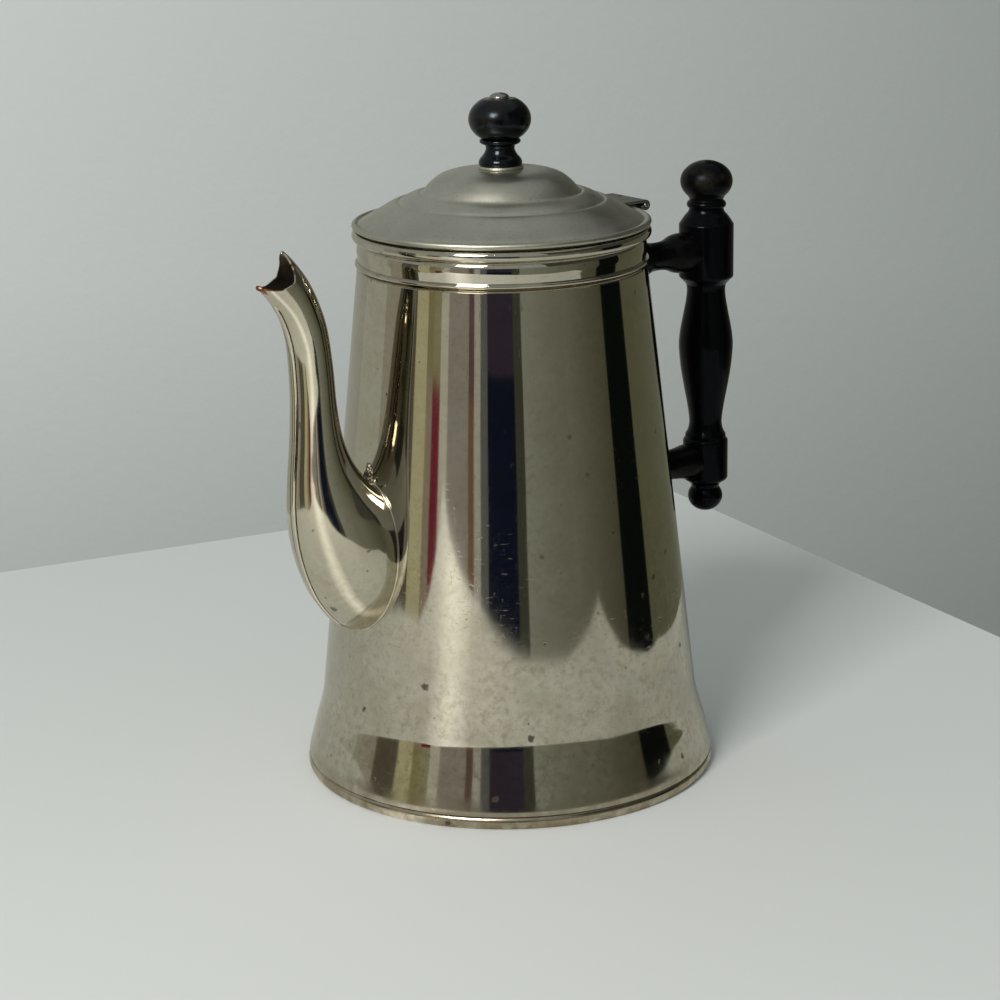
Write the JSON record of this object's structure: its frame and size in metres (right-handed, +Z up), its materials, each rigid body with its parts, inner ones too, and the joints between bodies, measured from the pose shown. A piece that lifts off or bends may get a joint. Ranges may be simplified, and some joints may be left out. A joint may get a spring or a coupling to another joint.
{
  "type": "gooseneck coffee pot",
  "caption": "Tapered metal coffee pot with gooseneck spout, hinged stepped lid with turned knob, and upright turned side handle.",
  "frame": {"origin": "on the pot's axis, on the table that the foot stands on", "axes": "+Z up along the pot's axis, -X along the spout, +X to the handle and the lid's hinge, Y along the hinge pin"},
  "size_m": [0.2108, 0.155, 0.2534],
  "materials": {
    "polished_nickel": "aged polished nickel plate with brown pits and fine scratches",
    "satin_nickel": "dulled satin nickel plate",
    "ebonised_wood": "turned wood, black lacquer worn to brown",
    "japanned_iron": "black japanned iron",
    "bare_steel": "plain steel with light tarnish"
  },
  "bodies": {
    "pot": {"body_shell": "polished_nickel", "bottom_plate": "satin_nickel", "foot_rim": "polished_nickel", "collar_band": "polished_nickel", "mouth_rim": "polished_nickel", "spout_right_half": "polished_nickel", "spout_left_half": "polished_nickel", "body_hinge_leaf": "satin_nickel", "hinge_pin": "bare_steel", "handle_grip": "ebonised_wood", "upper_handle_arm": "japanned_iron", "lower_handle_arm": "japanned_iron", "upper_handle_stud": "bare_steel", "lower_handle_stud": "bare_steel"},
    "lid": {"lid_shell": "satin_nickel", "lid_skirt": "satin_nickel", "lid_hinge_leaf": "satin_nickel", "lid_knob": "ebonised_wood", "knob_seat": "satin_nickel", "knob_screw": "bare_steel", "knob_nut": "bare_steel"}
  },
  "joints": [
    {"name": "lid_hinge", "type": "hinge", "parent": "pot", "child": "lid", "pos_m": [0.0588, 0, 0.2075], "axis": [0, 1, 0], "range_deg": [0, 110]}
  ]
}
